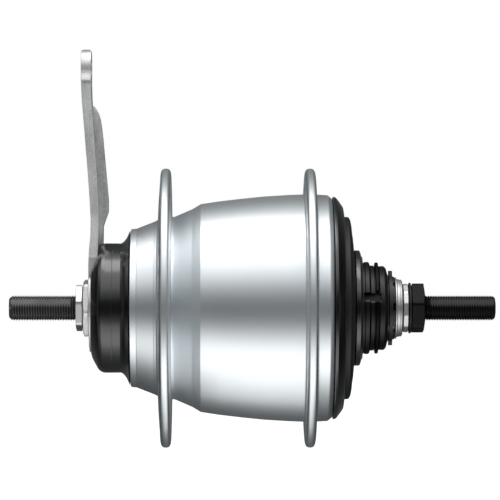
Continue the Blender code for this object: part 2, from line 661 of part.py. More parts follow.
def make_driver(body):
    left = [(8.3, 8.0), (8.3, 15.0), (22.5, 15.0), (22.5, 26.3)]
    after_race = [(29.5, 24.5), (31.0, 17.2), (45.0, 17.2), (45.0, 16.0)]
    after_race += [(46.5, 16.0), (46.5, 15.0), (48.3, 15.0)]
    right = [(48.3, 15.9), (51.0, 15.9), (51.6, 15.2), (51.9, 13.3), (47.5, 13.3)]
    bore = [*race(DRIVER_BALLS, 95, 180), (45.2, 8.0)]
    profile = left + race(RIGHT_BALLS, 200, 280) + after_race + right + bore
    driver = finished(spun(profile, MEDIUM_STEPS), "driver", "dark_steel", body)
    dogs = []
    for angle in PLANET_ANGLES:
        dog = arc(DOG_RADII[0], angle + 51, angle + 69, 2) + arc(DOG_RADII[1], angle + 69, angle + 51, 2)
        dogs.append(stacked([(8.6, 13.0, dog)]))
    combine(driver, merged(dogs), "UNION")
    slots = [box(SLOT_X, (-SLOT_HALF, SLOT_HALF), (15.1, 19.0), angle) for angle in SLOT_ANGLES]
    combine(driver, merged(slots), "DIFFERENCE")
    inner, outer = SNAP_RING_RADII
    half_gap = math.degrees(SNAP_RING_GAP / 2 / outer)
    first, last = SLOT_ANGLES[0] + half_gap, SLOT_ANGLES[0] + 360 - half_gap
    ring = arc(inner, first, last, MEDIUM_STEPS) + arc(outer, last, first, MEDIUM_STEPS)
    finished(stacked([(*SNAP_RING_X, ring)]), "snap_ring", "dark_steel", body)
    cover = [(39.3, 17.5), (39.3, 21.9), (41.2, 21.8), (41.9, 19.5), (42.2, 19.4), (42.2, 17.5)]
    finished(spun(cover, MEDIUM_STEPS), "driver_dust_cap", "black_plastic", body)
    seal = [(51.3, 9.9), (51.3, 13.0), (51.8, 13.0), (51.8, 9.9)]
    finished(spun(seal, SMALL_STEPS), "bearing_seal", "rubber", body)


def make_balls(name, bearing, body):
    """A ring of balls joined by the thin band of their cage."""
    (x, radius), ball, count = bearing
    left, right = x - CAGE_HALF[0], x + CAGE_HALF[0]
    low, high = radius - CAGE_HALF[1], radius + CAGE_HALF[1]
    band = [(left, low), (left, high), (right, high), (right, low)]
    balls = finished(spun(band, count), name, "ground_steel", body)
    spheres = []
    for index in range(count):
        sphere = bmesh.new()
        bmesh.ops.create_icosphere(sphere, subdivisions=1, radius=ball)
        y, z = polar(radius, 360 * (index + 0.5) / count)
        bmesh.ops.translate(sphere, verts=sphere.verts, vec=(x, y, z))
        spheres.append(sphere)
    combine(balls, merged(spheres), "UNION")


# The ring and sleeve that the shifter turns.


def make_shift_ring(body):
    """A disc with two tabs, a castellated rim, and two windows for the driver cone's fingers."""
    left, face, right = SHIFT_RING_X
    bore, rim = SHIFT_RING_RADII
    window_half = SHIFT_RANGE / 2 + FINGER_HALF_ANGLE + 2.0
    windows = []
    disc = []
    for finger in (0, 180):
        middle = finger - SHIFT_RANGE / 2
        first, last = middle - window_half, middle + window_half
        windows.append(arc(7.1, first, last, 8) + arc(9.9, last, first, 8))
        disc += arc(SHIFT_TAB_RADIUS, finger - 12, finger + 12, 2)
        disc += arc(rim, finger + 13, finger + 167, 10)
    plate = stacked([(left, face, disc)], [(left, face, circle(bore))], windows)
    ring = finished(plate, "shift_ring", "black_plastic", body)
    inner, outer = SHIFT_TEETH_RADII
    pitch = 360 / SHIFT_TEETH
    teeth = []
    for index in range(SHIFT_TEETH):
        first = pitch * (index + 0.1)
        last = first + 0.7 * pitch
        teeth.append(stacked([(face - 0.5, right, arc(inner, first, last, 2) + arc(outer, last, first, 2))]))
    combine(ring, merged(teeth), "UNION")


def make_shift_sleeve(body):
    """A tube on the axle, whose window frees the sun pawl."""
    inner, outer = SLEEVE_RADII
    tube = stacked([(*SLEEVE_X, circle(outer))], [(*SLEEVE_X, circle(inner))])
    sleeve = finished(tube, "shift_sleeve", "dark_steel", body)
    sector = [(0.0, 0.0)] + arc(9.0, -20 - SHIFT_RANGE, 40, 6)
    window_end = SUN_PAWL_X[1] + 0.5
    combine(sleeve, stacked([(SLEEVE_X[0] - 1.0, window_end, sector)]), "DIFFERENCE")


def clear_scene():
    for old in list(bpy.data.objects):
        bpy.data.objects.remove(old, do_unlink=True)


def build():
    clear_scene()
    root = body_empty("axle_assembly")
    shell = body_empty("shell_body", root)
    carrier = body_empty("carrier_body", root)
    driver = body_empty("driver_body", root)
    ring = body_empty("ring_body", root)
    small_sun = body_empty("small_sun_body", root)
    shift = body_empty("shift_body", root)
    expander = body_empty("expander_body", root)
    planets, shoes, pawls = [], [], []
    for index, angle in enumerate(PLANET_ANGLES, 1):
        planets.append(body_empty(f"planet_body_{index}", carrier, (0.0, *polar(PLANET_ORBIT, angle))))
        shoes.append(body_empty(f"shoe_body_{index}", root))
        pawls.append(body_empty(f"pawl_body_{index}", ring, (0.0, *polar(SHELL_PAWL_PIVOT, angle))))
    sun_pawl = body_empty("sun_pawl_body", root, (0.0, *polar(SUN_PAWL_PIVOT, 0)))

    make_axle(root)
    make_nuts(root)
    make_brake_arm(root)
    make_left_dust_cap(root)
    make_brake_cone(root)
    make_large_sun(root)
    make_driver_cone(root)
    make_brake(root, shoes, expander)
    make_hub_shell(shell)
    make_cups(shell)
    make_right_covers(shell)
    make_carrier(carrier)
    make_planets(planets)
    make_small_sun(small_sun)
    make_ring_gear(ring)
    make_pawls(pawls, sun_pawl)
    make_driver(driver)
    rings = {"left_balls": LEFT_BALLS, "right_balls": RIGHT_BALLS, "driver_balls": DRIVER_BALLS}
    for name, bearing in rings.items():
        make_balls(name, bearing, body_empty(f"{name}_body", root))
    make_shift_ring(shift)
    make_shift_sleeve(shift)


build()
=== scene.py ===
"""Looks of a five-speed bicycle hub gear with a coaster brake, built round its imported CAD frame.

Lengths are in millimetres in the frame's own axes: X along the axle, the driver at +X, and the brake arm
up along +Z. MM turns them into metres. Angles about the axle are in degrees from +Z towards -Y. Outlines
of turned pieces list (x, radius, fillet) corners, and most take their ends from their CAD node's box.
"""

import json
import math

import bmesh
import bpy
from mathutils import Matrix, Vector

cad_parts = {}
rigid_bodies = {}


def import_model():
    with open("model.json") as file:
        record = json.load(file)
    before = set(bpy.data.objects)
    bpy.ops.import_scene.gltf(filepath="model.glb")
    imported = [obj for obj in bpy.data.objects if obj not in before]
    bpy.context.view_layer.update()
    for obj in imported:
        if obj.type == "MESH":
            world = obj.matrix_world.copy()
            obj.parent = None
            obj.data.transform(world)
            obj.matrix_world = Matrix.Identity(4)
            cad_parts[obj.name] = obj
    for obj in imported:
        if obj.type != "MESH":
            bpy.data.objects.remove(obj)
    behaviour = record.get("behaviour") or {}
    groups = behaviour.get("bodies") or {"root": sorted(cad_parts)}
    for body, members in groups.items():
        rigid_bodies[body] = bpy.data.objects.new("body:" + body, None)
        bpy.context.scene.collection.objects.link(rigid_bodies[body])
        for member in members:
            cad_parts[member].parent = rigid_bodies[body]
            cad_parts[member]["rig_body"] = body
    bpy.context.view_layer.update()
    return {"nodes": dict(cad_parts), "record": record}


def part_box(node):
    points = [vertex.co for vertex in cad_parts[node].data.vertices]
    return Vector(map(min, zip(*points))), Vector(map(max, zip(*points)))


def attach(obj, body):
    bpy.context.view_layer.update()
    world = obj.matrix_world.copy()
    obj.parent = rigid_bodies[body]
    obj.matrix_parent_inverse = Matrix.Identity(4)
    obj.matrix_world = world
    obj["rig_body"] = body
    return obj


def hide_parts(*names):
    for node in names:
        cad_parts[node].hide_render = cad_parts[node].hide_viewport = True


MM = 0.001
TURN_STEPS = 192
FILLET_STEPS = 4
BEVEL_FROM = 35.0
WELD = 0.0005

# Spokes and flanges. FLANGE_INSET is from each end of the shell to its flange's left side, and
# HOLE_PROUD is how far the cutters of the spoke holes stand out of a flange.
SPOKES = 36
SPOKE_CIRCLE = 48.0
SPOKE_HOLE = 1.35
SPOKE_COUNTERSINK = 1.8
HOLE_STEPS = 24
HOLE_PROUD = 0.5
FLANGE_THICKNESS = 3.95
FLANGE_INSET = (11.2, 10.2)
FLANGE_RIM_DEPTH = 3.0

# The dust cap's recess for the arm.
RECESS_X = -56.9
RECESS_HALF = 12.9
RECESS_TOP = 32

# The brake arm. Outer, inner and bead list (z, x) points, and width lists (z, half width).
ARM_OUTER = (
    (-17.0, -60.8), (10.0, -61.0), (16.5, -61.0), (22.0, -60.75), (27.5, -60.25), (33.5, -60.2),
    (41.0, -60.65), (48.7, -61.2), (66.9, -62.75), (79.0, -63.8), (86.0, -64.1), (98.0, -64.1),
)
ARM_INNER = (
    (-17.0, -57.3), (10.0, -57.4), (19.0, -57.5), (27.5, -57.05), (36.0, -57.0), (48.7, -57.7),
    (66.9, -59.1), (79.0, -60.0), (86.0, -60.2), (98.0, -60.2),
)
ARM_WIDTH = ((11.1, 12.34), (18.5, 12.5), (35.0, 10.0), (60.0, 7.5), (84.0, 5.0), (85.81, 4.81))
ARM_BEAD = (
    (23.4, -57.0), (24.2, -55.7), (31.0, -55.6), (34.0, -54.6), (36.5, -53.7), (41.0, -53.7),
    (64.0, -55.8), (68.0, -56.25), (71.5, -56.8), (74.0, -57.6), (75.8, -58.7), (76.8, -60.0),
)
ARM_BEAD_HALF = 4.6
ARM_BEAD_SLOPE = 1.1
ARM_GROOVE_HALF = 2.9
ARM_GROOVE_SLOPE = 1.5
ARM_WALL = 2.2
ARM_EDGE = 0.45
ARM_EDGE_MIDDLE = 0.29
ARM_FACE_STEPS = 44
ARM_ROOT_RADIUS = 16.6
ARM_EYE_Z, ARM_EYE_RADIUS, ARM_EYE_HOLE = 90.9, 7.0, 3.25
ARM_TOP_ROUND = 1.2
ARM_LEDGE_Z = 18.9
ARM_LEDGE = 0.3
ARM_LEDGE_RUN = 7
CONE_HEX_HOLE = 15.6

# Nuts and axle. A nut's bore chamfer is (depth along X, radius added).
NUT_CORNER_FLAT = 0.24
NUT_CORNER_STEPS = 10
NUT_BORE_CHAMFER = (0.4, 0.45)
AXLE_STEPS = 96
AXLE_RADIUS = 4.75
AXLE_BORE = 5.0
AXLE_CHAMFER = 1.2
AXLE_ROUND = 1.9
AXLE_FLAT_HALF = 4.2
AXLE_FLAT_FROM = 68.0
AXLE_FLAT_ANGLE = 58.0
THREAD_FROM = 65.5
THREAD_PITCH = 0.977
THREAD_DEPTH = 0.56
RINGS_PER_PITCH = 8

# Driver and shift ring. A lip is the chamfer on one side of a slot, on two rims: (x range, rim radius).
DRIVER_SLOTS = (75, 195, 315)
SLOT_X = (42.3, 49.0)
SLOT_HALF = 1.45
SLOT_FLOOR = 14.3
SLOT_TOP = 19.0
LIP_RIMS = (((42.8, 44.75), 17.45), ((44.85, 48.9), 16.0))
LIP_DEPTH = 0.5
LIP_FROM, LIP_TO = -2.15, -1.4
SNAP_RING_BORE = 15.3
SNAP_RING_GAP = 2.25
SHIFT_PLATE = 1.3
SHIFT_DISC = 12.9
SHIFT_BORE = 6.25
SHIFT_WINDOW = (7.1, 9.9)
SHIFT_WINDOW_HALF = 75
SHIFT_TAB_TO_WINDOW = 48
SHIFT_TAB_HALF = 11
SHIFT_TAB_FOOT = 14
SHIFT_TEETH = 8
SHIFT_TEETH_FROM = 0.9
SHIFT_TOOTH_RADII = (10.3, 11.9)
SHIFT_TOOTH_ANGLES = (4.5, 36)

# Studio, in metres. Softboxes list name, place, target, size and power in watts. The tent lists degrees
# round the axle from the photo's side upwards, radiance and tint.
FLOOR_Z = -0.12
FLOOR_SIZE = 8.0
CAMERA_PLACE = (-0.0117, -1.332, 0.0)
CAMERA_TARGET = (-0.0002, 0.0, 0.02198)
CAMERA_LENS = 253.2
SOFTBOXES = (
    ("key", (-0.1, -0.18, 1.1), (0, 0, 0), (1.2, 0.45), 3.5),
    ("fill", (-0.004, -0.02, -0.116), (-0.004, -0.02, 0.0), (0.07, 0.07), 0.011),
)
TENT_PEAK = 2.4
NEUTRAL = (1.0, 1.0, 1.0)
COOL = (0.93, 0.99, 1.0)
TENT = (
    (-180, 0.10, COOL),
    (-152, 0.06, COOL),
    (-125, 0.08, COOL),
    (-100, 0.20, NEUTRAL),
    (-82, 0.75, NEUTRAL),
    (-66, 1.80, NEUTRAL),
    (-50, 1.80, NEUTRAL),
    (-36, 1.35, NEUTRAL),
    (-22, 0.35, NEUTRAL),
    (-8, 0.03, COOL),
    (10, 0.03, COOL),
    (24, 0.50, COOL),
    (40, 1.25, NEUTRAL),
    (58, 1.45, NEUTRAL),
    (76, 1.60, NEUTRAL),
    (92, 1.75, NEUTRAL),
    (108, 0.60, NEUTRAL),
    (122, 0.15, COOL),
    (152, 0.06, COOL),
    (180, 0.10, COOL),
)
# Towards the axle's own direction: (share of the direction along X, light left), and (share, light added).
TENT_SIDES = ((0.45, 1.0), (0.72, 0.70), (0.86, 0.14), (1.0, 0.14))
TENT_ENDS = ((0.975, 0.0), (0.995, 0.30))

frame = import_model()
RECORD = frame["record"]
SLOT_OF = {entry["node"]: entry["material_slot"] for entry in RECORD["subparts"]}


def reach(node):
    """The node's left end, right end and outer radius in millimetres."""
    low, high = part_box(node)
    return low.x / MM, high.x / MM, max(high.z, -low.z) / MM


# Points and outlines.


def polar(radius, angle):
    turn = math.radians(angle)
    return -radius * math.sin(turn), radius * math.cos(turn)


def arc(radius, first, last, steps):
    return [polar(radius, first + (last - first) * step / steps) for step in range(steps + 1)]


def circle(radius, steps=TURN_STEPS, centre=(0.0, 0.0)):
    return [(y + centre[0], z + centre[1]) for y, z in arc(radius, 0, 360, steps)[:-1]]


def rounded(corners, steps=FILLET_STEPS):
    """A closed outline whose (x, r, fillet) corners become short curves."""
    points = []
    for index, (x, radius, fillet) in enumerate(corners):
        if fillet == 0:
            points.append((x, radius))
            continue
        corner = Vector((x, radius))
        before = Vector(corners[index - 1][:2]) - corner
        after = Vector(corners[(index + 1) % len(corners)][:2]) - corner
        room = 0.45 * min(before.length, after.length)
        size = min(fillet / math.tan(before.angle(after) / 2), room)
        before.normalize()
        after.normalize()
        for step in range(steps + 1):
            part = step / steps
            points.append(tuple(corner + before * size * (1 - part) ** 2 + after * size * part**2))
    return points


def between(table, value):
    """The second column of a sorted table, in straight lines between its rows."""
    for (low, first), (high, last) in zip(table, table[1:]):
        if value <= high:
            return first + (last - first) * max(0.0, value - low) / (high - low)
    return table[-1][1]


def eased(value):
    value = min(1.0, max(0.0, value))
    return value * value * (3 - 2 * value)


# Meshes.


def new_loop(mesh, x, outline):
    return [mesh.verts.new((x, y, z)) for y, z in outline]


def bridge(mesh, near, far):
    for index in range(len(near)):
        after = (index + 1) % len(near)
        mesh.faces.new((near[index], near[after], far[after], far[index]))


def flat(mesh, *loops):
    """Flat faces between loops at one x: the first is the outer one and the rest are holes."""
    edges = []
    for loop in loops:
        for pair in zip(loop, loop[1:] + loop[:1]):
            edges.append(mesh.edges.get(pair) or mesh.edges.new(pair))
    bmesh.ops.triangle_fill(mesh, edges=edges, use_beauty=True)


def lofted(rings, closed=True, ends=False):
    """A mesh of quads between rings of equally many points. closed joins the last ring to the first."""
    mesh = bmesh.new()
    loops = [[mesh.verts.new(point) for point in points] for points in rings]
    for near, far in zip(loops, loops[1:] + (loops[:1] if closed else [])):
        bridge(mesh, near, far)
    if ends:
        mesh.faces.new(loops[0])
        mesh.faces.new(loops[-1])
    return mesh


def turned(corners, steps=TURN_STEPS):
    """A closed outline of (x, r, fillet) corners turned about the axle."""
    return lofted([[(x, y, z) for y, z in circle(radius, steps)] for x, radius in rounded(corners)])


def swept(corners, first, last, steps):
    """An outline carried part of the way round the axle, with flat ends."""
    angles = [first + (last - first) * step / steps for step in range(steps + 1)]
    outline = rounded(corners)
    return lofted([[(x, *polar(radius, angle)) for x, radius in outline] for angle in angles], False, True)


def prism(left, right, outline, holes=()):
    """A plate between two x, with straight sides and through holes."""
    mesh = bmesh.new()
    walls = [(new_loop(mesh, left, points), new_loop(mesh, right, points)) for points in (outline, *holes)]
    for near, far in walls:
        bridge(mesh, near, far)
    for side in (0, 1):
        flat(mesh, *[wall[side] for wall in walls])
    return mesh


def cutter(x_range, outline, turn):
    """A prism turned about the axle."""
    mesh = prism(*x_range, outline)
    turned_by = Matrix.Rotation(math.radians(turn), 3, "X")
    bmesh.ops.rotate(mesh, verts=mesh.verts, cent=(0, 0, 0), matrix=turned_by)
    return mesh


def block(x_range, y_range, z_range, turn=0.0):
    """A box-shaped cutter, turned about the axle."""
    (y_low, y_high), (z_low, z_high) = y_range, z_range
    outline = [(y_low, z_low), (y_high, z_low), (y_high, z_high), (y_low, z_high)]
    return cutter(x_range, outline, turn)


def merged(meshes):
    """One mesh with all of the meshes in it, which are used up."""
    whole = bmesh.new()
    for mesh in meshes:
        data = bpy.data.meshes.new("part")
        mesh.to_mesh(data)
        mesh.free()
        whole.from_mesh(data)
        bpy.data.meshes.remove(data)
    return whole


def carved(mesh, tool, operation="DIFFERENCE"):
    """The mesh after an exact boolean with a tool. Both are used up."""
    helpers = []
    for source in (mesh, tool):
        bmesh.ops.recalc_face_normals(source, faces=source.faces)
        data = bpy.data.meshes.new("helper")
        source.to_mesh(data)
        source.free()
        helper = bpy.data.objects.new("helper", data)
        bpy.context.scene.collection.objects.link(helper)
        helpers.append(helper)
    modifier = helpers[0].modifiers.new("Carve", "BOOLEAN")
    modifier.operation = operation
    modifier.solver = "EXACT"
    modifier.object = helpers[1]
    result = bmesh.new()
    result.from_mesh(helpers[0].evaluated_get(bpy.context.evaluated_depsgraph_get()).data)
    for helper in helpers:
        data = helper.data
        bpy.data.objects.remove(helper)
        bpy.data.meshes.remove(data)
    return result


def piece(mesh, node, smooth=35.0, bevel=0.0):
    """Makes the object that stands for a CAD node, on the node's body and with its material slot."""
    bmesh.ops.remove_doubles(mesh, verts=mesh.verts, dist=WELD)
    bmesh.ops.recalc_face_normals(mesh, faces=mesh.faces)
    bmesh.ops.scale(mesh, verts=mesh.verts, vec=(MM, MM, MM))
    data = bpy.data.meshes.new(f"{node}_look")
    mesh.to_mesh(data)
    mesh.free()
    data.shade_smooth()
    data.set_sharp_from_angle(angle=math.radians(smooth))
    made = bpy.data.objects.new(f"{node}_look", data)
    bpy.context.scene.collection.objects.link(made)
    data.materials.append(MATERIALS[SLOT_OF[node]])
    if bevel:
        modifier = made.modifiers.new("Edges", "BEVEL")
        modifier.width = bevel * MM
        modifier.segments = 2
        modifier.limit_method = "ANGLE"
        modifier.angle_limit = math.radians(BEVEL_FROM)
        modifier.harden_normals = True
    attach(made, frame["nodes"][node]["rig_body"])
    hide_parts(node)


# Materials: every one varies in colour, gloss and bump with noise in the object's own space.


def colour_ramp(tree, source, stops, kind="LINEAR"):
    """Colours or grey levels along a value from 0 to 1."""
    ramp = tree.nodes.new("ShaderNodeValToRGB")
    ramp.color_ramp.interpolation = kind
    elements = ramp.color_ramp.elements
    while len(elements) < len(stops):
        elements.new(0.5)
    for element, (place, colour) in zip(elements, stops):
        element.position = place
        element.color = (colour, colour, colour, 1.0) if isinstance(colour, float) else (*colour, 1.0)
    tree.links.new(source, ramp.inputs["Fac"])
    return ramp.outputs["Color"]


class Shader:
    """A Principled material with a few helpers for wiring procedural nodes."""

    def __init__(self, name, metallic, **values):
        self.material = bpy.data.materials.new(name)
        self.material.use_nodes = True
        self.tree = self.material.node_tree
        self.main = self.tree.nodes["Principled BSDF"]
        self.main.inputs["Metallic"].default_value = metallic
        for key, value in values.items():
            self.main.inputs[key.replace("_", " ")].default_value = value
        self.place = self.tree.nodes.new("ShaderNodeTexCoord").outputs["Object"]

    def node(self, kind, **settings):
        made = self.tree.nodes.new(kind)
        for key, value in settings.items():
            setattr(made, key, value)
        return made

    def link(self, source, target):
        self.tree.links.new(source, target)

    def noise(self, scale, detail=3.0, roughness=0.5, stretch=(1.0, 1.0, 1.0)):
        """A noise value in the object's space, in features per metre."""
        mapping = self.node("ShaderNodeMapping")
        mapping.inputs["Scale"].default_value = stretch
        self.link(self.place, mapping.inputs["Vector"])
        noise = self.node("ShaderNodeTexNoise")
        noise.inputs["Scale"].default_value = scale
        noise.inputs["Detail"].default_value = detail
        noise.inputs["Roughness"].default_value = roughness
        self.link(mapping.outputs["Vector"], noise.inputs["Vector"])
        return noise.outputs["Fac"]

    def ramp(self, source, stops):
        return colour_ramp(self.tree, source, stops)

    def mixed(self, factor, first, second):
        """Two colours mixed by a value or a number."""
        mix = self.node("ShaderNodeMix", data_type="RGBA")
        for socket, value in ((0, factor), (6, first), (7, second)):
            if isinstance(value, (int, float, tuple)):
                mix.inputs[socket].default_value = value if socket == 0 else (*value, 1.0)
            else:
                self.link(value, mix.inputs[socket])
        return mix.outputs[2]

    def colour(self, source):
        self.link(source, self.main.inputs["Base Color"])

    def roughness(self, source, low, high):
        spread = self.node("ShaderNodeMapRange")
        spread.inputs["To Min"].default_value = low
        spread.inputs["To Max"].default_value = high
        self.link(source, spread.inputs["Value"])
        self.link(spread.outputs["Result"], self.main.inputs["Roughness"])

    def bump(self, heights, distance):
        """One bump from several (source, strength) heights, chained."""
        normal = None
        for source, strength in heights:
            bump = self.node("ShaderNodeBump")
            bump.inputs["Strength"].default_value = strength
            bump.inputs["Distance"].default_value = distance * MM
            self.link(source, bump.inputs["Height"])
            if normal is not None:
                self.link(normal, bump.inputs["Normal"])
            normal = bump.outputs["Normal"]
        self.link(normal, self.main.inputs["Normal"])


LATHE_STRETCH = (1.0, 0.004, 0.004)


def shaded(colour, factor):
    return tuple(min(1.0, channel * factor) for channel in colour)


def satin_metal(name, colour, low, high, lathe=0.0, grain=0.05, spread=0.06):
    """Polished or ground metal: faint cloudy tone, fine grain and, on turned pieces, lathe rings."""
    shader = Shader(name, 1.0)
    cloud = shader.noise(55.0, 4.0, 0.55)
    tones = [(0.3, shaded(colour, 1 - spread)), (0.7, shaded(colour, 1 + spread))]
    shader.colour(shader.ramp(cloud, tones))
    fine = shader.noise(900.0, 3.0, 0.6)
    shader.roughness(shader.mixed(0.5, cloud, fine), low, high)
    rings = shader.noise(5200.0, 2.0, 0.6, LATHE_STRETCH)
    shader.bump([(fine, grain), (rings, lathe)], 0.02)
    return shader.material


def zinc_steel():
    """Stamped, zinc-plated steel: mottled grey, small pits, brighter worn edges."""
    shader = Shader("zinc_steel", 0.75)
    cloud = shader.noise(260.0, 4.0, 0.6, (1.0, 1.0, 0.35))
    mottled = shader.ramp(cloud, [(0.32, 0.465), (0.5, 0.625), (0.68, 0.785)])
    grain = shader.noise(1900.0, 4.0, 0.7)
    speckled = shader.ramp(grain, [(0.4, (0.35, 0.36, 0.36)), (0.62, 1.0)])
    mottled = shader.mixed(0.35, mottled, speckled)
    pointed = shader.node("ShaderNodeNewGeometry").outputs["Pointiness"]
    worn = shader.ramp(pointed, [(0.52, 0.0), (0.62, 1.0)])
    shader.colour(shader.mixed(worn, mottled, (0.88, 0.88, 0.87)))
    shader.roughness(shader.mixed(0.6, cloud, grain), 0.30, 0.52)
    pits = shader.ramp(shader.noise(1500.0, 2.0, 0.5), [(0.3, 0.0), (0.42, 1.0)])
    shader.bump([(grain, 0.3), (pits, 0.2)], 0.06)
    return shader.material


def axle_steel():
    """Dark rolled thread, painted lighter on its crests, blacker on the driver side."""
    shader = Shader("axle_steel", 0.75)
    along = shader.node("ShaderNodeSeparateXYZ")
    shader.link(shader.place, along.inputs["Vector"])
    side = shader.node("ShaderNodeMapRange")
    side.inputs["From Min"].default_value = -0.01
    side.inputs["From Max"].default_value = 0.01
    shader.link(along.outputs["X"], side.inputs["Value"])
    cloud = shader.noise(210.0, 4.0, 0.6)
    left = shader.ramp(cloud, [(0.3, 0.055), (0.7, 0.09)])
    right = shader.ramp(cloud, [(0.3, 0.013), (0.7, 0.020)])
    pointed = shader.node("ShaderNodeNewGeometry").outputs["Pointiness"]
    # Painted lighter on the thread crests (convex edges), strongly on the left end and barely on the right.
    crest = shader.ramp(pointed, [(0.53, 0.0), (0.66, 1.0)])
    left = shader.mixed(crest, left, (0.34, 0.34, 0.34))
    right = shader.mixed(crest, right, (0.03, 0.03, 0.03))
    shader.colour(shader.mixed(side.outputs["Result"], left, right))
    fine = shader.noise(1800.0, 3.0, 0.6)
    shader.roughness(fine, 0.28, 0.5)
    shader.bump([(fine, 0.15)], 0.03)
    return shader.material


def moulded(name, colour, low, high, grain, scale, coat=0.0):
    """Black moulded plastic or rubber with a faint moulded texture."""
    shader = Shader(name, 0.0, Coat_Weight=coat, Coat_Roughness=0.15, IOR=1.5)
    cloud = shader.noise(70.0, 3.0, 0.5)
    shader.colour(shader.ramp(cloud, [(0.3, shaded(colour, 0.8)), (0.7, shaded(colour, 1.25))]))
    fine = shader.noise(scale, 3.0, 0.55)
    shader.roughness(shader.mixed(0.5, cloud, fine), low, high)
    shader.bump([(fine, grain)], 0.03)
    return shader.material


MATERIALS = {
    "axle_steel": axle_steel(),
    "bright_steel": satin_metal("bright_steel", (0.59, 0.59, 0.58), 0.38, 0.50, lathe=0.05),
    "zinc_steel": zinc_steel(),
    "shell_aluminium": satin_metal(
        "shell_aluminium", (0.798, 0.838, 0.862), 0.39, 0.43, lathe=0.03, grain=0.02, spread=0.012,
    ),
    "driver_steel": satin_metal("driver_steel", (0.034, 0.034, 0.034), 0.34, 0.46, lathe=0.10, spread=0.2),
    "black_steel": satin_metal("black_steel", (0.012, 0.012, 0.012), 0.36, 0.5, spread=0.2),
    "gear_steel": satin_metal("gear_steel", (0.58, 0.58, 0.57), 0.22, 0.36, spread=0.08),
    "shoe_bronze": satin_metal("shoe_bronze", (0.62, 0.44, 0.24), 0.32, 0.48, spread=0.1),
    "black_plastic": moulded("black_plastic", (0.004, 0.004, 0.004), 0.22, 0.28, 0.03, 1400.0, coat=1.0),
    "matte_black_plastic": moulded("matte_black_plastic", (0.006, 0.006, 0.006), 0.38, 0.52, 0.12, 2200.0),
    "black_rubber": moulded("black_rubber", (0.005, 0.005, 0.005), 0.45, 0.6, 0.18, 2600.0),
}


# The hub shell: one turned casting with two drilled flanges.


def spoke_holes(left, right, first):
    """Cutters for one flange's ring of holes, widened at both sides."""
    slope = SPOKE_COUNTERSINK - SPOKE_HOLE
    mouth = SPOKE_COUNTERSINK + HOLE_PROUD
    levels = (
        (left - HOLE_PROUD, mouth), (left + slope, SPOKE_HOLE),
        (right - slope, SPOKE_HOLE), (right + HOLE_PROUD, mouth),
    )
    holes = []
    for index in range(SPOKES):
        centre = polar(SPOKE_CIRCLE, first + 360 * index / SPOKES)
        rings = [
            [(x, y, z) for y, z in circle(radius, HOLE_STEPS, centre)] for x, radius in levels
        ]
        holes.append(lofted(rings, False, True))
    return holes


def flange_rim(sides, rim, steps=24, fullness=0.72):
    """The outline of a flange's rim: half a squarish ellipse, from one side over the top to the other."""
    middle, half = sum(sides) / 2, (sides[1] - sides[0]) / 2
    corners = []
    for step in range(steps + 1):
        turn = math.pi * step / steps
        across = math.copysign(abs(math.cos(turn)) ** fullness, -math.cos(turn))
        rise = abs(math.sin(turn)) ** fullness
        corners.append((middle + half * across, rim - FLANGE_RIM_DEPTH * (1 - rise), 0))
    return corners


def make_hub_shell():
    left, right, rim = reach("hub_shell")
    flange_left = (left + FLANGE_INSET[0], left + FLANGE_INSET[0] + FLANGE_THICKNESS)
    flange_right = (right - FLANGE_INSET[1], right - FLANGE_INSET[1] + FLANGE_THICKNESS)
    neck = [
        (left, 27.0, 0.2), (left, 29.85, 0.35), (left + 2.4, 30.1, 1.0), (left + 2.6, 30.25, 0.6),
        (left + 9.0, 32.75, 1.5), (left + 9.3, 32.95, 0.6), (left + 10.2, 33.3, 0.7),
        (left + 10.6, 41.7, 3.0), (left + 10.95, 46.5, 3.0),
    ]
    waist = [
        (flange_left[1], 34.0, 1.4), (left + 18.6, 35.45, 4.0), (left + 23.2, 37.45, 4.0),
        (left + 26.4, 39.35, 0.35), (left + 33.0, 40.35, 9.0), (left + 41.4, 41.35, 12.0),
        (left + 50.3, 42.25, 12.0), (left + 60.0, 42.85, 12.0), (flange_right[0], 43.05, 1.0),
    ]
    shoulder = [
        (flange_right[1], 43.0, 1.0), (right - 1.6, 42.75, 1.3), (right, 41.4, 0.6), (right, 39.1, 0.2),
    ]
    inside = [
        (20.0, 39.1, 0), (20.0, 37.5, 0), (8.0, 37.5, 0), (8.0, 36.0, 0), (-18.5, 36.0, 0),
        (-18.5, 28.9, 0), (-38.1, 28.9, 0), (-38.1, 27.0, 0),
    ]
    rims = flange_rim(flange_left, rim), flange_rim(flange_right, rim)
    body = turned(neck + rims[0] + waist + rims[1] + shoulder + inside)
    holes = spoke_holes(*flange_left, 180 / SPOKES) + spoke_holes(*flange_right, 0.0)
    piece(carved(body, merged(holes)), "hub_shell", smooth=28.0)


# The left end: dust cap, brake arm and nuts.


def make_left_dust_cap():
    left, right, rim = reach("left_dust_cap")
    corners = [
        (left, 17.1, 0.3), (left + 0.5, 19.0, 1.5), (left + 1.8, 21.5, 2.0), (left + 3.0, 23.5, 1.6),
        (left + 4.4, 24.35, 1.2), (left + 5.6, 24.5, 1.0), (left + 8.1, 24.5, 0.06),
        (left + 8.3, 24.42, 0.06), (left + 8.5, 24.5, 0.06), (left + 11.4, 24.45, 0.4),
        (left + 12.4, 25.15, 0.9), (left + 13.4, 26.4, 1.5), (left + 14.4, 28.5, 0.8),
        (right, rim - 0.05, 0.15), (right, rim - 1.3, 0.2), (right - 2.2, 23.4, 0.8),
        (-54.8, 23.4, 0.4), (-55.9, 22.4, 0.3), (-55.9, 10.3, 0.1), (-57.0, 10.3, 0.1),
        (-57.0, 17.1, 0.2),
    ]
    recess = block((left - 3, RECESS_X), (-RECESS_HALF, RECESS_HALF), (0, RECESS_TOP))
    piece(carved(turned(corners), recess), "left_dust_cap", smooth=32.0)


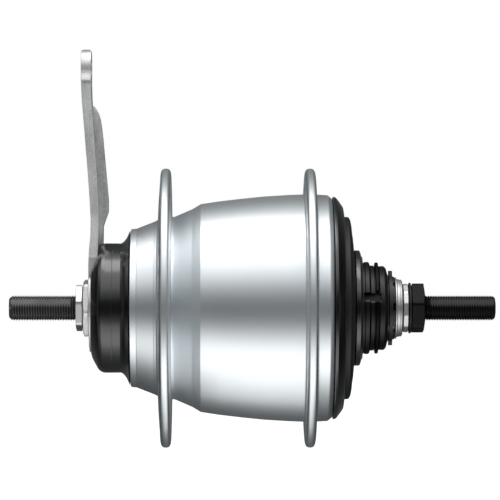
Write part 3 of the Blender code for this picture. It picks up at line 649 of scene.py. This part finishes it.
def arm_half_width(z):
    """Half of the arm's width at a height: root disc, tapering sides with a small ledge, round eye."""
    if z < ARM_WIDTH[0][0]:
        return math.sqrt(max(0.3, ARM_ROOT_RADIUS**2 - z * z))
    if z > ARM_WIDTH[-1][0]:
        return math.sqrt(max(0.3, ARM_EYE_RADIUS**2 - (z - ARM_EYE_Z) ** 2))
    ledge = ARM_LEDGE * (1 - eased((ARM_LEDGE_Z - z) / ARM_LEDGE_RUN)) if z < ARM_LEDGE_Z else 0.0
    return between(ARM_WIDTH, z) - ledge


def arm_section(z):
    """The arm's closed outline at a height: a pressed bead on one face and its groove on the other."""
    outer, inner, half = between(ARM_OUTER, z), between(ARM_INNER, z), arm_half_width(z)
    bead = max(inner, between(ARM_BEAD, z)) if ARM_BEAD[0][0] < z < ARM_BEAD[-1][0] else inner
    groove = max(outer, bead - ARM_WALL) if bead > inner else outer
    over = max(0.0, z - ARM_EYE_Z - ARM_EYE_RADIUS + ARM_TOP_ROUND)
    drawn_in = ARM_TOP_ROUND - math.sqrt(ARM_TOP_ROUND**2 - over**2)
    outer, groove, inner, bead = outer + drawn_in, groove + drawn_in, inner - drawn_in, bead - drawn_in
    edge = min(ARM_EDGE, 0.4 * half)
    points = []
    for side, face, raised, raised_half, slope in (
        (1, outer, groove, ARM_GROOVE_HALF, ARM_GROOVE_SLOPE),
        (-1, inner, bead, ARM_BEAD_HALF, ARM_BEAD_SLOPE),
    ):
        row = []
        for step in range(ARM_FACE_STEPS + 1):
            y = (half - edge) * (2 * step / ARM_FACE_STEPS - 1)
            lift = eased((raised_half - abs(y)) / slope)
            row.append((face + (raised - face) * lift, y, z))
        row = row if side == 1 else row[::-1]
        inwards = edge if face == outer else -edge
        middle_x = face + inwards * ARM_EDGE_MIDDLE
        middle_y = side * (half - edge * ARM_EDGE_MIDDLE)
        points += [(face + inwards, -side * half, z), (middle_x, -middle_y, z), *row]
        points += [(middle_x, middle_y, z), (face + inwards, side * half, z)]
    return points


def make_brake_arm():
    root = [-ARM_ROOT_RADIUS * math.cos(math.radians(3 * step)) for step in range(1, 30)]
    middle = [0.5 * step for step in range(3, 171)]
    ledge = [ARM_LEDGE_Z - 0.02, ARM_LEDGE_Z + 0.02]
    top = [ARM_EYE_Z + ARM_EYE_RADIUS * math.sin(math.radians(3 * step)) for step in range(-15, 30)]
    heights = sorted(set(round(z, 3) for z in root + middle + ledge + top))
    mesh = lofted([arm_section(z) for z in heights], False, True)
    hexagon = arc(CONE_HEX_HOLE / math.sqrt(3), 0, 360, 6)[:-1]
    eye = circle(ARM_EYE_HOLE, 48, (0.0, ARM_EYE_Z))
    for outline in (hexagon, eye):
        mesh = carved(mesh, prism(-70, -50, outline))
    piece(mesh, "brake_arm", smooth=30.0)


def nut(node, across_flats, vertex, chamfers, sides=6, faces=(0.965, 0.965), bevel=0.12):
    """A nut with a narrow flat on every corner, turned off at both ends. vertex is one corner's angle."""
    left, right, _ = reach(node)
    inner = across_flats / 2
    half = 180 / sides
    edge = half - math.degrees(NUT_CORNER_FLAT / inner * math.cos(math.radians(half)))
    across = [-edge + 2 * edge * step / NUT_CORNER_STEPS for step in range(NUT_CORNER_STEPS + 1)]
    turns = [vertex + half * (2 * side + 1) + offset for side in range(sides) for offset in across]
    corners = [inner / math.cos(math.radians(offset)) for _ in range(sides) for offset in across]
    deep, wide = NUT_BORE_CHAMFER

    def ring(x, radius):
        return [(x, *polar(radius, turn)) for turn in turns]

    def turned_off(x, way, slope, face):
        ends = [x + way * max(0.02, (radius - inner * face) * slope) for radius in corners]
        return [(end, *polar(radius, turn)) for end, radius, turn in zip(ends, corners, turns)]

    rings = [
        ring(left + deep, AXLE_BORE), ring(left, AXLE_BORE + wide),
        ring(left, inner * faces[0]), turned_off(left, 1, chamfers[0], faces[0]),
        turned_off(right, -1, chamfers[1], faces[1]), ring(right, inner * faces[1]),
        ring(right, AXLE_BORE + wide), ring(right - deep, AXLE_BORE),
    ]
    piece(lofted(rings), node, bevel=bevel)


# The axle: rolled thread outside the lock nuts, two flats on each end.


def axle_radius(x, angle, left, right):
    """The thread's radius, held down to the left end's chamfer and the right end's round."""
    phase = (x / THREAD_PITCH - angle / 360) % 1
    height = min(1.0, max(0.0, 1.25 * abs(2 * phase - 1) - 0.1))
    thread = AXLE_RADIUS - THREAD_DEPTH * (1 - height)
    chamfer = AXLE_RADIUS - AXLE_CHAMFER + (x - left)
    inset = max(0.0, AXLE_ROUND - (right - x))
    round_end = AXLE_RADIUS - AXLE_ROUND + math.sqrt(max(0.0, AXLE_ROUND**2 - inset**2))
    return min(thread, chamfer, round_end)


def axle_ring(x, left, right):
    """The axle's outline at one x, cut down to the two flats near its ends."""
    normal = Vector((0, *polar(1.0, AXLE_FLAT_ANGLE)))
    points = []
    for step in range(AXLE_STEPS):
        angle = 360 * step / AXLE_STEPS
        point = Vector((x, *polar(axle_radius(x, angle, left, right), angle)))
        over = point.dot(normal)
        if abs(x) > AXLE_FLAT_FROM and abs(over) > AXLE_FLAT_HALF:
            point -= normal * (over - math.copysign(AXLE_FLAT_HALF, over))
        points.append(tuple(point))
    return points


def make_axle():
    left, right, _ = reach("axle")
    step = THREAD_PITCH / RINGS_PER_PITCH
    count_left = int((-THREAD_FROM - left) / step)
    count_right = int((right - THREAD_FROM) / step)
    threaded = [left + step * index for index in range(count_left)]
    threaded += [right - step * index for index in range(count_right, -1, -1)]
    rings = [axle_ring(x, left, right) for x in threaded]
    centres = []
    for x, radius in (
        (left + 1.4, 0.25), (left + 0.5, 1.1), (left, 1.5),
        (right, 1.5), (right - 0.5, 1.1), (right - 1.4, 0.25),
    ):
        centres.append([(x, y, z) for y, z in circle(radius, AXLE_STEPS)])
    piece(lofted([*centres[:3], *rings, *centres[3:]], False, True), "axle", smooth=50.0)


# The right end: covers, driver, shift ring, cone and nuts.


def make_right_covers():
    left, right, rim = reach("right_dust_cap")
    cap = [
        (left, rim, 0.4), (left + 1.2, 41.9, 0.9), (left + 2.6, 40.1, 3.0), (left + 3.9, 38.2, 2.0),
        (right, 34.9, 0.4), (right - 1.2, 34.9, 0.2), (right - 1.5, 37.4, 0.8), (left + 0.8, 40.6, 0.4),
        (left, 40.6, 0.1),
    ]
    piece(turned(cap), "right_dust_cap")
    left, right, rim = reach("right_dust_seal")
    seal = [
        (left, rim, 0.2), (37.0, rim, 0.8), (37.6, 33.4, 0.8), (37.9, 32.0, 1.0), (38.1, 29.6, 0.1),
        (38.0, 29.4, 0.1), (38.2, 29.2, 0.1), (38.5, 27.3, 2.0), (38.8, 24.4, 0.2), (38.6, 24.2, 0.1),
        (38.8, 24.0, 0.2), (right, 22.4, 0.3), (37.9, 22.4, 0.3), (37.4, 27.3, 1.0), (36.7, 32.0, 1.0),
        (36.3, 33.2, 0.4), (left, 33.2, 0.2),
    ]
    piece(turned(seal), "right_dust_seal")
    left, right, rim = reach("driver_dust_cap")
    cover = [
        (left, 17.5, 0.1), (left, rim, 0.3), (left + 1.9, rim - 0.1, 0.5), (left + 2.3, 20.7, 0.6),
        (left + 2.6, 19.5, 0.3), (right, 19.4, 0.2), (right, 17.5, 0.15),
    ]
    piece(turned(cover), "driver_dust_cap")


def make_driver():
    corners = [
        (8.3, 8.0, 0), (8.3, 15.0, 0), (22.5, 15.0, 0), (22.5, 24.0, 0), (29.5, 24.0, 0.5),
        (31.0, 17.2, 0.5), (42.9, 17.2, 0.1), (43.1, 17.45, 0.15), (44.5, 17.45, 0.25),
        (44.9, 16.9, 0.2), (45.1, 16.1, 0.25), (46.5, 16.1, 0.15), (46.55, 15.0, 0.1),
        (48.3, 15.0, 0.1), (48.35, 15.85, 0.3), (50.3, 15.9, 0.6), (51.1, 15.1, 0.6),
        (51.5, 13.6, 0.2), (51.3, 13.3, 0.1), (47.5, 13.3, 0), (45.2, 12.6, 0), (45.2, 8.0, 0),
    ]
    slots = []
    lips = []
    for angle in DRIVER_SLOTS:
        slots.append(block(SLOT_X, (-SLOT_HALF, SLOT_HALF), (SLOT_FLOOR, SLOT_TOP), angle))
        for x_range, radius in LIP_RIMS:
            foot = (LIP_FROM, math.sqrt(radius**2 - LIP_FROM**2))
            lip = [(LIP_TO, radius - LIP_DEPTH), foot, (LIP_FROM, SLOT_TOP), (LIP_TO, SLOT_TOP)]
            lips.append(cutter(x_range, lip, angle))
    piece(carved(carved(turned(corners), merged(slots)), merged(lips)), "driver", bevel=0.1)
    left, right, rim = reach("snap_ring")
    gap = math.degrees(SNAP_RING_GAP / rim)
    section = [
        (left, SNAP_RING_BORE, 0.1), (left, rim, 0.3), (right, rim, 0.3), (right, SNAP_RING_BORE, 0.1),
    ]
    first = DRIVER_SLOTS[0]
    piece(swept(section, first + gap, first + 360 - gap, 180), "snap_ring")


def make_shift_ring():
    """A disc with two tabs, two windows and a castellated rim."""
    left, right, rim = reach("shift_ring")
    inner, outer = SHIFT_WINDOW
    disc = []
    windows = []
    for middle in (0, 180):
        disc += arc(rim, middle - SHIFT_TAB_HALF, middle + SHIFT_TAB_HALF, 8)
        disc += arc(SHIFT_DISC, middle + SHIFT_TAB_FOOT, middle + 180 - SHIFT_TAB_FOOT, 48)
        centre = middle - SHIFT_TAB_TO_WINDOW
        first, last = centre - SHIFT_WINDOW_HALF, centre + SHIFT_WINDOW_HALF
        windows.append(arc(inner, first, last, 32) + arc(outer, last, first, 32))
    plate = prism(left, left + SHIFT_PLATE, disc, [circle(SHIFT_BORE, 48), *windows])
    low, high = SHIFT_TOOTH_RADII
    teeth = []
    for index in range(SHIFT_TEETH):
        first, last = [360 / SHIFT_TEETH * index + angle for angle in SHIFT_TOOTH_ANGLES]
        tooth = arc(low, first, last, 10) + arc(high, last, first, 10)
        teeth.append(prism(left + SHIFT_TEETH_FROM, right, tooth))
    piece(carved(plate, merged(teeth), "UNION"), "shift_ring", bevel=0.24)


def make_right_nuts():
    left, right, rim = reach("right_collar")
    collar = [
        (left, AXLE_BORE, 0.1), (left, rim, 0.15), (left + 0.45, rim, 0.15), (left + 0.7, 10.95, 0.2),
        (left + 1.7, 10.85, 0.3), (left + 1.85, 10.6, 0.1), (left + 2.0, 10.8, 0.2),
        (left + 2.4, 10.7, 0.3), (right, 10.2, 0.2), (right, AXLE_BORE, 0.1),
    ]
    piece(turned(collar), "right_collar")
    nut("cone_lock_nut", 18.0, 49.5, (0.25, 0.25), sides=12)
    left, right, rim = reach("seal_washer")
    washer = [
        (left, AXLE_BORE, 0.1), (left, 9.3, 0.15), (left + 0.2, rim, 0.12), (right, 9.45, 0.05),
        (right, AXLE_BORE, 0.1),
    ]
    piece(turned(washer), "seal_washer")
    nut("right_lock_nut", 17.2, 80.0, (0.04, 0.16), faces=(0.965, 0.66))


make_hub_shell()
make_left_dust_cap()
make_brake_arm()
nut("left_lock_nut", 15.8, 74.9, (0.15, 0.1))
nut("arm_nut", 20.0, 99.4, (0.3, 0.1))
make_axle()
make_right_covers()
make_driver()
make_shift_ring()
make_right_nuts()


# The inner pieces keep their CAD meshes, and every CAD node takes the finish of its slot.

for name, node in frame["nodes"].items():
    for slot in node.material_slots:
        slot.material = MATERIALS[SLOT_OF[name]]


# Floor, light and camera.


def make_floor():
    mesh = bmesh.new()
    bmesh.ops.create_grid(mesh, x_segments=2, y_segments=2, size=FLOOR_SIZE)
    data = bpy.data.meshes.new("floor")
    mesh.to_mesh(data)
    mesh.free()
    floor = bpy.data.objects.new("floor", data)
    floor.location.z = FLOOR_Z
    bpy.context.scene.collection.objects.link(floor)
    glow = {"Emission_Color": (1.0, 1.0, 1.0, 1.0), "Emission_Strength": 0.42}
    shader = Shader("floor_paper", 0.0, Roughness=0.9, **glow)
    shader.colour(shader.ramp(shader.noise(3.0), [(0.3, 0.93), (0.7, 0.95)]))
    data.materials.append(shader.material)
    floor.visible_glossy = False


def world_math(tree, operation, *values):
    made = tree.nodes.new("ShaderNodeMath")
    made.operation = operation
    for socket, value in zip(made.inputs, values):
        if isinstance(value, float):
            socket.default_value = value
        else:
            tree.links.new(value, socket)
    return made.outputs[0]


def world_mix(tree, kind, first, second):
    mix = tree.nodes.new("ShaderNodeMix")
    mix.data_type = "RGBA"
    mix.blend_type = kind
    mix.inputs[0].default_value = 1.0
    tree.links.new(first, mix.inputs[6])
    tree.links.new(second, mix.inputs[7])
    return mix.outputs[2]


def make_world():
    """A light tent. The camera sees white, and the object a soft band above, one below and a dim middle."""
    world = bpy.data.worlds.new("light_tent")
    world.use_nodes = True
    bpy.context.scene.world = world
    tree = world.node_tree
    tree.nodes.clear()
    direction = tree.nodes.new("ShaderNodeSeparateXYZ")
    tree.links.new(tree.nodes.new("ShaderNodeTexCoord").outputs["Generated"], direction.inputs[0])
    towards = world_math(tree, "MULTIPLY", direction.outputs["Y"], -1.0)
    turn = world_math(tree, "ARCTAN2", direction.outputs["Z"], towards)
    place = world_math(tree, "MULTIPLY_ADD", turn, 0.5 / math.pi, 0.5)
    bands = [((angle + 180) / 360, [level * c / TENT_PEAK for c in tint]) for angle, level, tint in TENT]
    band = colour_ramp(tree, place, bands, "EASE")
    aside = world_math(tree, "ABSOLUTE", direction.outputs["X"])
    light_left = colour_ramp(tree, aside, TENT_SIDES)
    ends = [(share, level / TENT_PEAK) for share, level in TENT_ENDS]
    end_light = colour_ramp(tree, aside, ends, "EASE")
    narrowed = world_mix(tree, "MULTIPLY", band, light_left)
    tent = tree.nodes.new("ShaderNodeBackground")
    tent.inputs["Strength"].default_value = TENT_PEAK
    tree.links.new(world_mix(tree, "ADD", narrowed, end_light), tent.inputs["Color"])
    white = tree.nodes.new("ShaderNodeBackground")
    white.inputs["Color"].default_value = (1.0, 1.0, 1.0, 1.0)
    mix = tree.nodes.new("ShaderNodeMixShader")
    tree.links.new(tree.nodes.new("ShaderNodeLightPath").outputs["Is Camera Ray"], mix.inputs["Fac"])
    tree.links.new(tent.outputs[0], mix.inputs[1])
    tree.links.new(white.outputs[0], mix.inputs[2])
    tree.links.new(mix.outputs[0], tree.nodes.new("ShaderNodeOutputWorld").inputs["Surface"])


def aimed(thing, target):
    thing.rotation_mode = "QUATERNION"
    thing.rotation_quaternion = (Vector(target) - thing.location).to_track_quat("-Z", "Y")


def make_softbox(name, place, target, size, power):
    light = bpy.data.lights.new(name, "AREA")
    light.shape = "RECTANGLE"
    light.size, light.size_y = size
    light.energy = power
    made = bpy.data.objects.new(name, light)
    made.location = place
    made.visible_camera = False
    aimed(made, target)
    bpy.context.scene.collection.objects.link(made)


def make_camera():
    camera = bpy.data.cameras.new("camera")
    camera.sensor_width = 36.0
    camera.lens = CAMERA_LENS
    camera.clip_start = 0.05
    made = bpy.data.objects.new("camera", camera)
    made.location = CAMERA_PLACE
    aimed(made, CAMERA_TARGET)
    bpy.context.scene.collection.objects.link(made)
    bpy.context.scene.camera = made


make_floor()
make_world()
for softbox in SOFTBOXES:
    make_softbox(*softbox)
make_camera()
bpy.context.scene.view_settings.view_transform = "Standard"
